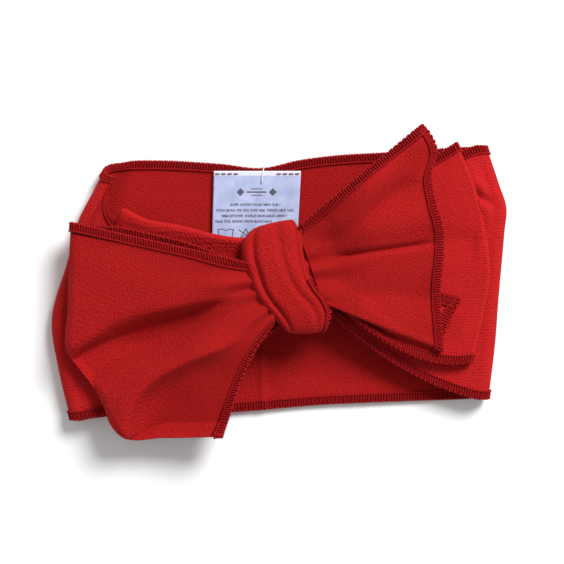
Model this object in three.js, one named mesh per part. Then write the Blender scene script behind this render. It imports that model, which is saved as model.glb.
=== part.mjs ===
// A tie-on sports headband: one long strip of stretch cotton with overlocked edges, closed into a ring
// and knotted into a bow over its front. It lies flat on the ring's back, with the bow on top.
// Millimetres, +Z up. X runs across the flattened ring and +Y points to the band's upper edge.
import * as THREE from 'three';

// Cloth and its overlocked edges
const stripWidth = 127; // edge to edge
const clothThickness = 0.8;
const seamWidth = 5; // how far the overlock stitches reach in from the edge
const seamThickness = 1.2;

// The flattened ring
const ringWidth = 226; // over both side turns, at their widest
const ringTilt = 3; // degrees that the ring lies turned against the bow
const turnHeight = 12; // over a side turn, outside
const backDip = { depth: 5, centre: -8, spread: 17 }; // where the label draws the upper edge down

// The knot: a wrap of cloth round the strands that cross in it
const knotCentre = new THREE.Vector2(4, 4);
const knotLean = 18.8; // degrees from +Y, towards -X at its top
const wrapWidth = 27;
const wrapLength = 58;
const wrapHeight = 19;
const wrapWall = 2.4;
const coreStandOut = 1; // how far the crossed strands show past the wrap at each side
const knotClearance = 3.5; // from the top of the turns up to the wrap's underside

// The bow, each reach measured from the knot's centre
const leftLoopReach = 107;
const rightLoopReach = 99;
const rightTailReach = 80;
const leftTailReach = 84;
const leftFoldRadius = 3.5; // inside the outer bend of each loop
const rightFoldRadius = 3;
const tailFoldRadius = 2;
const tailTurnUnder = 24; // width of the strip that is turned under along the right tail
const gatherSpan = 40; // length of each gathered root, along the knot

// The care label and what holds it
const labelWidth = 44;
const labelDrop = 47; // free length below the stitching
const labelHeader = 2.5; // strip above the stitching
const labelThickness = 0.3;
const labelCentreX = -11.5;
const labelInset = 10; // from the band's upper edge down to the line of stitching
const threadRadius = 0.25;
const filamentRadius = 0.3;

// Clearances
const pieceGap = 0.3; // between pieces that meet
const layerGap = 0.6; // of air between layers that lie on each other

// Heights that follow from them
const turnRadius = (turnHeight - clothThickness) / 2; // of the cloth's middle, round a side turn
const armRest = turnHeight - clothThickness / 2; // the front's level where it leaves a turn
const knotMiddle = turnHeight + knotClearance + wrapHeight / 2;
const coreHalf = wrapHeight / 2 - wrapWall - pieceGap;
const coreEnd = wrapWidth / 2 + coreStandOut;
const layerPitch = clothThickness + layerGap;
const labelSeamY = stripWidth / 2 - labelInset;
const gatherRadius = 0.35 * coreHalf;
const tailGatherRadius = 0.29 * coreHalf;
const level = share => knotMiddle + share * coreHalf; // a height inside the knot

// Where each strand crosses the knot's side
const loopAxis = coreEnd + pieceGap + gatherRadius;
const tailAxis = loopAxis + tailGatherRadius;
const armLevel = level(-0.74);
const leftTailLevel = level(-0.3);
const leftLoopLevel = level(0.38);
const rightLoopLevel = level(-0.09);
const rightTailLevel = level(0.64);

const { lerp, smoothstep, degToRad } = THREE.MathUtils;
const up = new THREE.Vector3(0, 0, 1);
const along = new THREE.Vector3(-Math.sin(degToRad(knotLean)), Math.cos(degToRad(knotLean)), 0);
const across = new THREE.Vector3().crossVectors(along, up); // towards +X

// ---------------------------------------------------------------- shapes

// A point given in the knot's own directions, at the height z.
function atKnot(s, t, z) {
  return new THREE.Vector3(knotCentre.x, knotCentre.y, z).addScaledVector(across, s).addScaledVector(along, t);
}

// A point of the ring, which lies turned by its tilt.
function onRing(x, y, z) {
  return new THREE.Vector3(x, y, z).applyAxisAngle(up, degToRad(ringTilt));
}

// The unit normal of a surface(u, v), on the side where u runs anticlockwise into v.
function normalOf(surface, u, v) {
  const step = 1e-3;
  const du = surface(Math.min(u + step, 1), v).sub(surface(Math.max(u - step, 0), v));
  const dv = surface(u, Math.min(v + step, 1)).sub(surface(u, Math.max(v - step, 0)));
  return du.cross(dv).normalize();
}

// A sheet as one closed body. Its middle is surface(u, v), moved by shift along the normal.
function sheetGeometry(surface, thickness, uSteps, vSteps, shift = 0) {
  const positions = [];
  const indices = [];
  const columns = vSteps + 1;
  const layer = (uSteps + 1) * columns;
  for (const side of [0.5, -0.5]) {
    for (let i = 0; i <= uSteps; i++) {
      for (let j = 0; j <= vSteps; j++) {
        const normal = normalOf(surface, i / uSteps, j / vSteps);
        const point = surface(i / uSteps, j / vSteps).addScaledVector(normal, side * thickness + shift);
        positions.push(point.x, point.y, point.z);
      }
    }
  }
  const id = (i, j, below) => i * columns + j + below * layer;
  for (let i = 0; i < uSteps; i++) {
    for (let j = 0; j < vSteps; j++) {
      const [a, b, c, d] = [id(i, j, 0), id(i + 1, j, 0), id(i + 1, j + 1, 0), id(i, j + 1, 0)];
      indices.push(a, b, c, a, c, d);
      indices.push(a + layer, c + layer, b + layer, a + layer, d + layer, c + layer);
    }
  }
  const rim = [];
  for (let i = 0; i < uSteps; i++) rim.push(id(i, 0, 0));
  for (let j = 0; j < vSteps; j++) rim.push(id(uSteps, j, 0));
  for (let i = uSteps; i > 0; i--) rim.push(id(i, vSteps, 0));
  for (let j = vSteps; j > 0; j--) rim.push(id(0, j, 0));
  rim.forEach((p, k) => {
    const q = rim[(k + 1) % rim.length];
    indices.push(p, p + layer, q + layer, p, q + layer, q);
  });
  const geometry = new THREE.BufferGeometry();
  geometry.setAttribute('position', new THREE.Float32BufferAttribute(positions, 3));
  geometry.setIndex(indices);
  geometry.computeVertexNormals();
  return geometry;
}

// A round thread along points.
function threadGeometry(points, radius, steps) {
  const section = new THREE.Shape().absarc(0, 0, radius, 0, Math.PI * 2);
  return new THREE.ExtrudeGeometry(section, {
    steps,
    curveSegments: 3,
    extrudePath: new THREE.CatmullRomCurve3(points),
  });
}

// A smooth outline through points given as shares of a reach from the knot's centre, at share v of its length.
function outline(reach, shares) {
  const curve = new THREE.CatmullRomCurve3(
    shares.map(([x, y]) => new THREE.Vector3(knotCentre.x + reach * x, knotCentre.y + reach * y, 0)),
  );
  return v => curve.getPointAt(v);
}

// ---------------------------------------------------------------- levels

// How far a place has come down from the knot's levels to those of the flat layers, from 0 to 1.
const settled = (x, distance) => smoothstep(Math.abs(x - knotCentre.x), wrapWidth / 2, distance);
const armHeight = x => lerp(armLevel, armRest, settled(x, 0.36 * ringWidth));
const resting = (rootLevel, x, above) => lerp(rootLevel, armHeight(x) + above, settled(x, 0.22 * ringWidth));

// The middle and half depth of the space inside a loop, over a place x.
function loopSpace(rootLevel, above, foldRadius) {
  const rootHalf = gatherRadius - clothThickness / 2;
  return {
    middle: x => resting(rootLevel, x, above + foldRadius),
    half: x => lerp(rootHalf, foldRadius, settled(x, 0.22 * ringWidth)),
  };
}

const leftLoopSpace = loopSpace(leftLoopLevel, 2 * layerPitch + clothThickness, leftFoldRadius);
const rightLoopSpace = loopSpace(rightLoopLevel, layerPitch, rightFoldRadius);
const tailSpace = {
  middle: x => resting(rightTailLevel - 0.6, x, 2 * layerPitch + 2 * rightFoldRadius + tailFoldRadius),
  half: x => lerp(0.6, tailFoldRadius, settled(x, 0.22 * ringWidth)),
};

// ---------------------------------------------------------------- runs of the strip

// The outermost line of each side turn: share of the strip's half width, and inset from the ring's side.
const turnLines = {
  left: [[1, 28], [0.55, 12], [0.26, 6.5], [-0.24, -2], [-0.6, 0.5], [-1, 4]],
  right: [[1, 5.5], [0.67, 0], [0.52, -2.5], [0.31, -1.5], [-0.23, 3.5], [-1, 11]],
};

function turnLine(side) {
  const sign = side === 'left' ? -1 : 1;
  const curve = new THREE.CatmullRomCurve3(
    turnLines[side].map(([y, inset]) => new THREE.Vector3(sign * (ringWidth / 2 - inset), (y * stripWidth) / 2, 0)),
  );
  return v => curve.getPoint(curve.getUtoTmapping(v));
}

const leftLine = turnLine('left');
const rightLine = turnLine('right');

// The back of the ring, flat on the ground, from the left turn to the right one.
function backRun(u, v) {
  const left = leftLine(v);
  const right = rightLine(v);
  const x = lerp(left.x + turnRadius + pieceGap, right.x - turnRadius - pieceGap, u);
  const dip = backDip.depth * Math.exp(-(((x - backDip.centre) / backDip.spread) ** 2)) * (1 - v) ** 2;
  return onRing(x, lerp(left.y, right.y, u) - dip, clothThickness / 2);
}

// A side turn, from the back up to the front.
function turnRun(side) {
  const line = side === 'left' ? leftLine : rightLine;
  const sign = side === 'left' ? -1 : 1;
  return (u, v) => {
    const p = line(v);
    const angle = Math.PI * u;
    const x = p.x - sign * turnRadius * (1 - Math.sin(angle));
    return onRing(x, p.y, clothThickness / 2 + turnRadius * (1 - Math.cos(angle)));
  };
}

// A side of the front, from its turn to the knot. Each line across it is a quadratic curve that is drawn
// off the straight by pull, given at its upper and its lower edge.
function frontRun(side, pull) {
  const line = side === 'left' ? leftLine : rightLine;
  const sign = side === 'left' ? -1 : 1;
  return (u, v) => {
    const p = line(v);
    const start = onRing(p.x - sign * (turnRadius + pieceGap), p.y, 0);
    const root = atKnot(sign * (coreEnd + pieceGap), lerp(gatherSpan, -gatherSpan, v) / 2, 0);
    const off = new THREE.Vector3(lerp(pull.upper[0], pull.lower[0], v), lerp(pull.upper[1], pull.lower[1], v), 0);
    const middle = start.clone().lerp(root, 0.5).add(off);
    const point = new THREE.QuadraticBezierCurve3(start, middle, root).getPoint(u);
    return point.setZ(armHeight(point.x));
  };
}

// One layer of a loop, from its gathered root to the bend where it meets the other layer.
// facing is 1 for the layer on top and -1 for the one beneath.
function loopRun(sign, edge, space, facing, pull) {
  const bendStart = 0.7;
  return (u, v) => {
    const root = atKnot(sign * (loopAxis + gatherRadius + pieceGap), lerp(gatherSpan, -gatherSpan, v) / 2, 0);
    const end = edge(v);
    const radius = space.half(end.x);
    const length = root.distanceTo(end);
    const bend = (Math.max(0, u - bendStart) / (1 - bendStart)) * (Math.PI / 2);
    const reached = Math.min(u / bendStart, 1) * (length - radius) + radius * Math.sin(bend);
    const share = reached / length;
    const point = root.clone().lerp(end, share);
    point.y += pull * 4 * share * (1 - share) * v * v;
    const closing = Math.cos(bend) * space.half(point.x) + (pieceGap / 2 + clothThickness / 4) * Math.sin(bend);
    return point.setZ(space.middle(point.x) + facing * closing);
  };
}

// The right tail, from its gathered root to its cut end. Its lower side is turned under along a long bend.
function tailRun(facing) {
  const end = outline(rightTailReach, [[0.82, 0.9], [0.9, 0.7], [0.95, 0.28], [0.97, 0.02], [0.95, -0.44]]);
  return (u, v) => {
    const root = v => atKnot(tailAxis + tailGatherRadius + pieceGap, lerp(1.2 * gatherSpan, -gatherSpan, v) / 2, 0);
    const line = w => root(w).lerp(end(w), u);
    const fold = line(1);
    const inward = line(0).sub(fold);
    const width = inward.length();
    inward.normalize();
    const radius = tailSpace.half(fold.x);
    const flat = (facing > 0 ? width : Math.min(tailTurnUnder, 0.6 * width)) - radius;
    const bendStart = 0.75;
    const bend = (Math.max(0, v - bendStart) / (1 - bendStart)) * (Math.PI / 2);
    const left = (1 - Math.min(v / bendStart, 1)) * flat + radius * (1 - Math.sin(bend));
    const point = facing > 0 ? line(1 - left / width) : fold.clone().addScaledVector(inward, left);
    const closing = Math.cos(bend) * tailSpace.half(point.x) + (pieceGap / 2 + clothThickness / 4) * Math.sin(bend);
    return point.setZ(tailSpace.middle(point.x) + facing * closing);
  };
}

// The other tail, folded double and hidden between the left loop and the ring.
function leftTailRun(u, v) {
  const end = outline(leftTailReach, [[-1, 0.1], [-1, -0.25], [-0.94, -0.6]]);
  const root = atKnot(-(coreEnd + pieceGap), lerp(0.7 * gatherSpan, -0.7 * gatherSpan, v) / 2, 0);
  const point = root.lerp(end(v), u);
  return point.setZ(resting(leftTailLevel, point.x, layerPitch + clothThickness / 2));
}

// ---------------------------------------------------------------- pieces

const headband = new THREE.Group();

const materials = {
  cloth: new THREE.MeshStandardMaterial({ color: 0xb81a1c, roughness: 0.85, metalness: 0 }),
  thread: new THREE.MeshStandardMaterial({ color: 0x7d1216, roughness: 0.75, metalness: 0 }),
  label: new THREE.MeshStandardMaterial({ color: 0xdcdcf0, roughness: 0.45, metalness: 0 }),
  nylon: new THREE.MeshStandardMaterial({ color: 0xe9e6e4, roughness: 0.3, metalness: 0 }),
};

function add(name, geometry, material) {
  const mesh = new THREE.Mesh(geometry, material);
  mesh.name = name;
  headband.add(mesh);
  return mesh;
}

// A run of the strip as cloth between two overlocked edges. inner is 1 where the surface's normal points to
// the cloth's inner face, which the thicker edges stand out from, and -1 where it points away from it.
function addStrip(name, surface, inner, { uSteps = 12, vSteps = 8, edges = ['upper', 'lower'] } = {}) {
  const widthAt = u => surface(u, 0).distanceTo(surface(u, 1));
  const inset = side => (edges.includes(side) ? seamWidth + pieceGap : 0);
  const panel = (u, v) => {
    const width = widthAt(u);
    return surface(u, lerp(inset('upper') / width, 1 - inset('lower') / width, v));
  };
  add(name, sheetGeometry(panel, clothThickness, uSteps, vSteps), materials.cloth);
  const flush = (inner * (seamThickness - clothThickness)) / 2;
  for (const side of edges) {
    const edge = (u, v) => {
      const share = seamWidth / widthAt(u);
      return surface(u, side === 'upper' ? lerp(0, share, v) : lerp(1 - share, 1, v));
    };
    add(`${name}_${side}_seam`, sheetGeometry(edge, seamThickness, uSteps, 1, flush), materials.thread);
  }
}

function addRing() {
  addStrip('back_panel', backRun, -1, { uSteps: 16 });
  addStrip('left_turn', turnRun('left'), 1, { uSteps: 8, vSteps: 8 });
  addStrip('right_turn', turnRun('right'), -1, { uSteps: 8, vSteps: 8 });
  addStrip('left_front', frontRun('left', { upper: [-40, -16], lower: [8, -8] }), 1);
  addStrip('right_front', frontRun('right', { upper: [-6, 2], lower: [-5, -13] }), -1);
}

// The wrap and the strands inside it are ellipses drawn out along the knot's across direction.
function ellipsePrism(halfLength, halfHeight, hole, depth) {
  const shape = new THREE.Shape().absellipse(0, 0, halfLength, halfHeight, 0, Math.PI * 2);
  if (hole) {
    shape.holes.push(new THREE.Path().absellipse(0, 0, hole.halfLength, hole.halfHeight, 0, Math.PI * 2));
  }
  const geometry = new THREE.ExtrudeGeometry(shape, { depth, bevelEnabled: false, curveSegments: 20 });
  geometry.translate(0, 0, -depth / 2);
  geometry.applyMatrix4(new THREE.Matrix4().makeBasis(along, up, across));
  return geometry.translate(knotCentre.x, knotCentre.y, knotMiddle);
}

function addKnot() {
  const hole = { halfLength: wrapLength / 2 - wrapWall, halfHeight: wrapHeight / 2 - wrapWall };
  add('knot_wrap', ellipsePrism(wrapLength / 2, wrapHeight / 2, hole, wrapWidth), materials.cloth);
  add('knot_core', ellipsePrism(hole.halfLength - pieceGap, coreHalf, null, 2 * coreEnd), materials.cloth);
}

// The gathered root of a loop or tail: a round bundle beside the knot, where it lifts.
function addGather(name, s, height, radius, length) {
  const geometry = new THREE.CylinderGeometry(radius, radius, length, 12);
  geometry.applyMatrix4(new THREE.Matrix4().makeBasis(across, along, up));
  const centre = atKnot(s, 0, height);
  add(name, geometry.translate(centre.x, centre.y, centre.z), materials.cloth);
}

function addBow() {
  const leftEdge = outline(leftLoopReach, [
    [-0.99, 0.24], [-1, -0.08], [-0.995, -0.38], [-0.85, -0.63], [-0.76, -0.75], [-0.55, -0.77], [-0.315, -0.755],
  ]);
  const rightEdge = outline(rightLoopReach, [
    [0.83, 0.65], [0.9, 0.485], [0.96, 0.29], [0.99, -0.06], [0.95, -0.28], [0.905, -0.44],
  ]);
  addGather('left_loop_gather', -loopAxis, leftLoopLevel, gatherRadius, gatherSpan);
  addStrip('left_loop_front', loopRun(-1, leftEdge, leftLoopSpace, 1, 0), 1);
  addStrip('left_loop_back', loopRun(-1, leftEdge, leftLoopSpace, -1, 0), -1);
  addGather('right_loop_gather', loopAxis, rightLoopLevel, gatherRadius, gatherSpan);
  addStrip('right_loop_front', loopRun(1, rightEdge, rightLoopSpace, 1, -8), -1);
  addStrip('right_loop_back', loopRun(1, rightEdge, rightLoopSpace, -1, -8), 1);
  addGather('right_tail_gather', tailAxis, rightTailLevel, tailGatherRadius, 1.1 * gatherSpan);
}

// A tail ends in an overlocked edge of its own, so its run stops a seam short of the end.
function addTails() {
  const cutBack = (surface, length) => (u, v) => surface(u * (1 - (seamWidth + pieceGap) / length), v);
  const endSeam = (surface, length) => (u, v) => surface(lerp(1 - seamWidth / length, 1, u), v);
  const upper = tailRun(1);
  const under = tailRun(-1);
  const startUnder = 0.25;
  const underPart = (u, v) => under(lerp(startUnder, 1, u), v);
  const length = rightTailReach - tailAxis;
  addStrip('right_tail', cutBack(upper, length), -1, { edges: ['upper'] });
  addStrip('right_tail_turn_under', cutBack(underPart, (1 - startUnder) * length), 1, { vSteps: 6, edges: ['upper'] });
  add('right_tail_end_seam', sheetGeometry(endSeam(upper, length), seamThickness, 1, 12), materials.thread);
  add(
    'right_tail_turn_under_end_seam',
    sheetGeometry(endSeam(under, length), seamThickness, 1, 6),
    materials.thread,
  );
  const leftLength = leftTailReach - coreEnd;
  const doubled = 2 * clothThickness;
  add('left_tail', sheetGeometry(cutBack(leftTailRun, leftLength), doubled, 10, 6), materials.cloth);
  add('left_tail_end_seam', sheetGeometry(endSeam(leftTailRun, leftLength), doubled, 1, 6), materials.thread);
}

function addLabel() {
  const height = seamThickness + pieceGap + labelThickness / 2;
  const free = new THREE.BoxGeometry(labelWidth, labelDrop, labelThickness);
  add('care_label', free.translate(labelCentreX, labelSeamY - labelDrop / 2, height), materials.label);
  const header = new THREE.BoxGeometry(labelWidth, labelHeader, labelThickness);
  const headerMiddle = labelSeamY + pieceGap + labelHeader / 2;
  add('label_header', header.translate(labelCentreX, headerMiddle, height), materials.label);

  const stitches = 11;
  const threadHeight = height + labelThickness / 2 + pieceGap + threadRadius;
  const line = [];
  for (let i = 0; i <= 2 * stitches; i++) {
    const x = labelCentreX + (labelWidth - 4 * threadRadius) * (i / (2 * stitches) - 0.5);
    line.push(new THREE.Vector3(x, headerMiddle, threadHeight + (i % 2) * threadRadius));
  }
  add('label_stitching', threadGeometry(line, threadRadius, 2 * stitches), materials.thread);

  // The tag fastener's filament: out of the label beside its stitching and over the band's upper edge.
  const edgeY = backRun(0.5, 0).y;
  const start = new THREE.Vector3(labelCentreX + 2, labelSeamY - 1.5, height + labelThickness / 2 + 2 * pieceGap);
  const overThread = threadHeight + 2 * threadRadius + pieceGap + filamentRadius;
  const outside = edgeY + pieceGap + 2 * filamentRadius;
  const filament = [
    start,
    new THREE.Vector3(start.x + 0.3, headerMiddle - 1, overThread),
    new THREE.Vector3(start.x + 0.7, headerMiddle + 1.5, overThread),
    new THREE.Vector3(start.x + 1.4, outside - 0.5, seamThickness + 2 * pieceGap),
    new THREE.Vector3(start.x + 1.5, outside, filamentRadius + pieceGap),
  ];
  add('tag_filament', threadGeometry(filament, filamentRadius, 12), materials.nylon);
}

addRing();
addKnot();
addBow();
addTails();
addLabel();

// The part's origin is under the middle of its box.
const box = new THREE.Box3().setFromObject(headband);
const middle = box.getCenter(new THREE.Vector3());
headband.position.set(-middle.x, -middle.y, -box.min.z);

export default headband;
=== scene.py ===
import math

import bpy
import numpy as np
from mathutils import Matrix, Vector


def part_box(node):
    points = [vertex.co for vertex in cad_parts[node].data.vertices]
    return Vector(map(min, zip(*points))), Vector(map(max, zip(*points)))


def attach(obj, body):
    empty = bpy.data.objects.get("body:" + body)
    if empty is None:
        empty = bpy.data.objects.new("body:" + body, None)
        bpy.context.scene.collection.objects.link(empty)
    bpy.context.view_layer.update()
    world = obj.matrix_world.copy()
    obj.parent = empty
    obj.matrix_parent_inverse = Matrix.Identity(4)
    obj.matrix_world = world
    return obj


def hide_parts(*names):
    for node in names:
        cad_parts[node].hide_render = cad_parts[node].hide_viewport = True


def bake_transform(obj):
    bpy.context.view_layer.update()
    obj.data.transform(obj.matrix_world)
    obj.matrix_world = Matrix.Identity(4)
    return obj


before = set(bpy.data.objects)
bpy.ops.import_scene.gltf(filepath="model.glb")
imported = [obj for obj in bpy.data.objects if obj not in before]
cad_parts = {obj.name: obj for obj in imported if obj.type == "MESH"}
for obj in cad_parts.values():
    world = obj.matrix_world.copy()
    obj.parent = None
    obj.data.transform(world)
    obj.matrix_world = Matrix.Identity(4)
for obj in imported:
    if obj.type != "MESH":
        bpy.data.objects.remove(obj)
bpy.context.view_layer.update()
mm = 0.001


# the band's own zero, in the frame and in mm, is found from the label's header
headerLow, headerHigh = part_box("label_header")
bandOrigin = np.array([(headerLow.x + headerHigh.x) / 2 / mm + 11.5, headerLow.y / mm - 53.8, 0.0])

view = {
    "lens": 100,
    "distance": 0.798,
    "aim": (1.0, 0.2),  # mm, in the band's own directions
}


def addCamera():
    data = bpy.data.cameras.new("camera")
    data.lens = view["lens"]
    data.sensor_width = 36
    data.clip_start = 0.01
    camera = bpy.data.objects.new("camera", data)
    aimX, aimY = (np.array(view["aim"]) + bandOrigin[:2]) * mm
    camera.location = (aimX, aimY, view["distance"])
    bpy.context.scene.collection.objects.link(camera)
    bpy.context.scene.camera = camera


addCamera()


def lerp(a, b, t):
    return a + (b - a) * t


def step(x, low, high):
    t = np.clip((x - low) / (high - low), 0, 1)
    return t * t * (3 - 2 * t)


def bell(x, width):
    return np.exp(-((x / width) ** 2))


# A cubic Hermite piece from value i to the next, at a share t of its span.
def hermite(p, slopes, i, span, t):
    return (
        (2 * t**3 - 3 * t**2 + 1) * p[i]
        + (t**3 - 2 * t**2 + t) * span * slopes[i]
        + (3 * t**2 - 2 * t**3) * p[i + 1]
        + (t**3 - t**2) * span * slopes[i + 1]
    )


# The smooth curve through points, at a share of its length: cubic Hermite pieces whose slopes come from the
# neighbouring points.
def through(points, share):
    p = np.asarray(points, float)
    reach = np.linalg.norm(np.diff(p, axis=0), axis=1)
    knots = np.concatenate([[0], np.cumsum(reach)]) / reach.sum()
    slopes = np.gradient(p, knots, axis=0)
    share = np.clip(np.asarray(share, float), 0, 1)
    i = np.clip(np.searchsorted(knots, share, side="right") - 1, 0, len(knots) - 2)
    span = knots[i + 1] - knots[i]
    t = ((share - knots[i]) / span)[..., None]
    return hermite(p, slopes, i, span[..., None], t)


# The smooth value at x of a quantity given at rising places: the same pieces in one dimension.
def valueAt(places, values, x):
    places = np.asarray(places, float)
    values = np.asarray(values, float)
    slopes = np.gradient(values, places)
    x = np.clip(np.asarray(x, float), places[0], places[-1])
    i = np.clip(np.searchsorted(places, x, side="right") - 1, 0, len(places) - 2)
    span = places[i + 1] - places[i]
    return hermite(values, slopes, i, span, (x - places[i]) / span)


# Signed distance from places to a curve in plan, positive on its right-hand side, and the share of the curve
# where it is nearest.
def fromPath(x, y, path, points=160):
    line = through(path, np.linspace(0, 1, points))
    ahead = np.gradient(line, axis=0)
    ahead /= np.linalg.norm(ahead, axis=1)[:, None]
    gapX = x[..., None] - line[:, 0]
    gapY = y[..., None] - line[:, 1]
    nearest = np.argmin(gapX**2 + gapY**2, axis=-1)
    gx = np.take_along_axis(gapX, nearest[..., None], -1)[..., 0]
    gy = np.take_along_axis(gapY, nearest[..., None], -1)[..., 0]
    side = np.sign(gx * ahead[nearest, 1] - gy * ahead[nearest, 0])
    return side * np.hypot(gx, gy), nearest / (points - 1)


# A pleat's valley: its depth falls off as a bell, over one width on the left-hand side of the path and
# another on the right, and it grows and fades along the path as fade gives it.
def valley(x, y, path, depth, leftWidth, rightWidth, fade=(0.15, 0.85)):
    distance, share = fromPath(x, y, path)
    grown = step(share, 0, fade[0]) * (1 - step(share, fade[1], 1))
    return -depth * grown * np.where(distance < 0, bell(distance, leftWidth), bell(distance, rightWidth))


# Pleats pressed into the knot: sine waves across the strip, drawn closer and wider by turns, that die away
# with the distance from the knot.
def pleats(share, v, size, count, phase, reach=0.55):
    wave = np.sin(2 * math.pi * (count * v + 0.12 * np.sin(2 * math.pi * (v * 2 + phase))) + phase * 5)
    long = 0.6 + 0.4 * np.sin(2 * math.pi * (v * 1.7 + phase * 3))
    return size * wave * (1 - step(share, 0.04, reach * long + 0.12))


# Soft unevenness of cloth: the sum of seven long sine waves, each turned its own way.
def unevenness(x, y, size, wave=34.0, seed=1):
    rng = np.random.default_rng(seed)
    total = np.zeros_like(x)
    for k in range(7):
        angle, phase = rng.uniform(0, 2 * math.pi, 2)
        length = wave * rng.uniform(0.6, 1.6)
        total += np.sin(2 * math.pi * (x * math.cos(angle) + y * math.sin(angle)) / length + phase)
    return size * total / 4


# The highest point of what lies below, at places x, y: the greatest height in a square of cells round each
# place, and far down where nothing lies.
def highest(below, x, y, cell=1.5):
    low = np.array([-140.0, -100.0])
    size = (190, 140)
    nothing = -50.0
    top = np.full(size, nothing)
    for points in below:
        flat = points.reshape(-1, 3)
        at = np.clip(((flat[:, :2] - low) / cell).astype(int), 0, np.array(size) - 1)
        np.maximum.at(top, (at[:, 0], at[:, 1]), flat[:, 2])
    at = [np.clip(((c - o) / cell).astype(int), 1, n - 2) for c, o, n in zip((x, y), low, size)]
    around = [top[at[0] + i, at[1] + j] for i in (-1, 0, 1) for j in (-1, 0, 1)]
    return np.max(around, axis=0)


# Lift a grid's heights so that it lies at least a gap over what is below. The lift is the mean of its
# neighbours, taken again and again, and never less than what is needed.
def laidOn(points, below, gap, underside=None, passes=9):
    lowest = points[..., 2] if underside is None else underside
    lift = np.maximum(highest(below, points[..., 0], points[..., 1]) + gap - lowest, 0)
    rows, columns = lift.shape
    wide = lift
    for _ in range(passes):
        padded = np.pad(wide, 1, mode="edge")
        wide = sum(padded[i : rows + i, j : columns + j] for i in range(3) for j in range(3)) / 9
        wide = np.maximum(wide, lift)
    raised = points.copy()
    raised[..., 2] += wide
    return raised


def makeMesh(name, vertices, quads, uv=None, finish=None, smooth=None):
    mesh = bpy.data.meshes.new(name)
    mesh.vertices.add(len(vertices))
    mesh.vertices.foreach_set("co", np.ascontiguousarray(vertices, np.float32).ravel())
    mesh.loops.add(len(quads) * 4)
    mesh.loops.foreach_set("vertex_index", np.ascontiguousarray(quads, np.int32).ravel())
    mesh.polygons.add(len(quads))
    mesh.polygons.foreach_set("loop_start", np.arange(len(quads), dtype=np.int32) * 4)
    if finish is not None:
        mesh.polygons.foreach_set("material_index", np.ascontiguousarray(finish, np.int32))
    mesh.update(calc_edges=True)
    mesh.polygons.foreach_set("use_smooth", np.ones(len(quads), bool) if smooth is None else smooth)
    if uv is not None:
        layer = mesh.uv_layers.new(name="cut")
        layer.data.foreach_set("uv", np.ascontiguousarray(uv, np.float32).ravel())
    mesh.validate()
    piece = bpy.data.objects.new(name, mesh)
    bpy.context.scene.collection.objects.link(piece)
    return piece


# Two parameters over a grid, each running evenly from 0 to 1.
def evenGrid(columns, rows):
    return np.meshgrid(np.linspace(0, 1, columns), np.linspace(0, 1, rows), indexing="ij")


# Normals of a grid of points: the cross product of its two directions.
def gridNormals(points, closed=False):
    if closed:
        du = np.roll(points, -1, 0) - np.roll(points, 1, 0)
    else:
        du = np.gradient(points, axis=0)
    n = np.cross(du, np.gradient(points, axis=1))
    return n / np.maximum(np.linalg.norm(n, axis=2), 1e-12)[..., None]


# A sheet of cloth as a closed shell: the grid of its middle moved half its thickness to each side, with a
# rim. The first finish is on the side where u turns anticlockwise into v, the second on the other. uv is
# in mm of the cut cloth.
def clothPiece(name, points, uv, thickness, finishes, closed=False):
    nu, nv = points.shape[:2]
    normals = gridNormals(points, closed)
    vertices = np.concatenate([(points + s * normals * thickness / 2).reshape(-1, 3) for s in (1, -1)])
    i = np.arange(nu if closed else nu - 1)[:, None]
    j = np.arange(nv - 1)[None, :]
    corners = [(i, j), (i + 1, j), (i + 1, j + 1), (i, j + 1)]
    ids = np.stack([a % nu * nv + b for a, b in corners], -1).reshape(-1, 4)
    texture = uv if not closed else np.concatenate([uv, uv[:1] + [[uv[-1, 0, 0] + uv[1, 0, 0], 0]]])
    cutAt = np.stack([texture[a + 0 * b, b] for a, b in corners], -2).reshape(-1, 4, 2)
    below = nu * nv
    rims = []
    edges = [(np.arange(nu) * nv, True), (np.arange(nu) * nv + nv - 1, False)]
    if not closed:
        edges += [(np.arange(nv), False), (np.arange(nv) + (nu - 1) * nv, True)]
    for line, forward in edges:
        a, b = (line, np.roll(line, -1)) if closed else (line[:-1], line[1:])
        rim = np.stack([a, a + below, b + below, b] if forward else [a, b, b + below, a + below], -1)
        rims.append(rim)
    rims = np.concatenate(rims)
    flat = texture[:nu].reshape(-1, 2)
    rimCut = flat[rims % below]
    quads = np.concatenate([ids, ids[:, ::-1] + below, rims])
    allUv = np.concatenate([cutAt, cutAt[:, ::-1], rimCut])
    finish = np.concatenate([np.zeros(len(ids)), np.ones(len(ids)), np.ones(len(rims))])
    smooth = np.concatenate([np.ones(2 * len(ids), bool), np.zeros(len(rims), bool)])
    piece = makeMesh(name, (vertices + bandOrigin) * mm, quads, allUv * mm, finish, smooth)
    for material in finishes:
        piece.data.materials.append(material)
    return piece


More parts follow.
